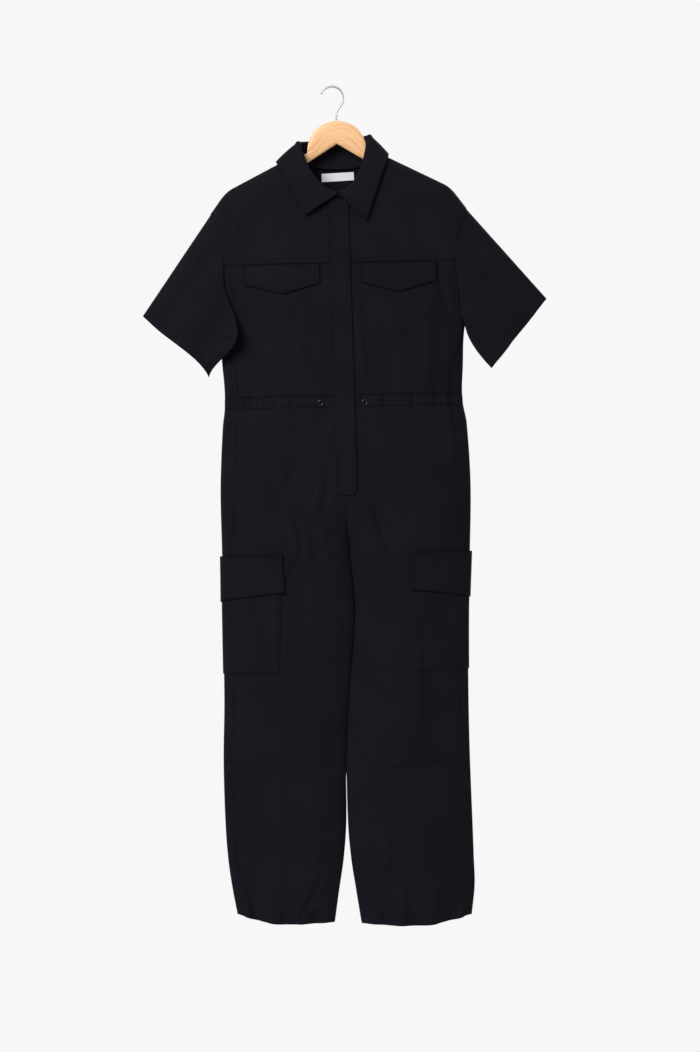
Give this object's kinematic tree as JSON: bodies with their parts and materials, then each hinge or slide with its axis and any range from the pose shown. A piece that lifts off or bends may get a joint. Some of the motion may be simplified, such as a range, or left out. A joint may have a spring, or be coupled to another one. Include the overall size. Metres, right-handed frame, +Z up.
{
  "type": "jumpsuit on a hanger",
  "caption": "Short-sleeved cargo jumpsuit with a pointed collar, concealed front placket, flapped chest pockets and a gathered waist, hanging flat on a wooden hanger.",
  "frame": {"origin": "inside top of the hanger's hook, where a rail or peg holds it", "axes": "+Z up along the hanging garment, +X to the wearer's left, the front faces -Y"},
  "size_m": [0.7708, 0.0911, 1.6046],
  "materials": {
    "cloth": "matte twill, very dark navy",
    "label": "smooth woven, blank white",
    "wood": "clear satin varnish",
    "steel": "polished",
    "gunmetal": "dark gunmetal, semi-gloss"
  },
  "bodies": {
    "root": {"hanger_wood": "wood", "hanger_hook": "steel", "front_yoke_right": "cloth", "front_yoke_left": "cloth", "front_bodice_right": "cloth", "front_bodice_left": "cloth", "back_bodice": "cloth", "sleeve_right": "cloth", "sleeve_left": "cloth", "collar_stand": "cloth", "collar_leaf": "cloth", "placket": "cloth", "chest_flap_right": "cloth", "chest_flap_left": "cloth", "waist_casing_front_right": "cloth", "waist_casing_front_left": "cloth", "waist_casing_back": "cloth", "eyelet_right": "gunmetal", "eyelet_left": "gunmetal", "trouser_front_right": "cloth", "trouser_front_left": "cloth", "trouser_back_right": "cloth", "trouser_back_left": "cloth", "cargo_pocket_right": "cloth", "cargo_pocket_left": "cloth", "cargo_flap_right": "cloth", "cargo_flap_left": "cloth", "neck_label": "label"}
  },
  "joints": []
}
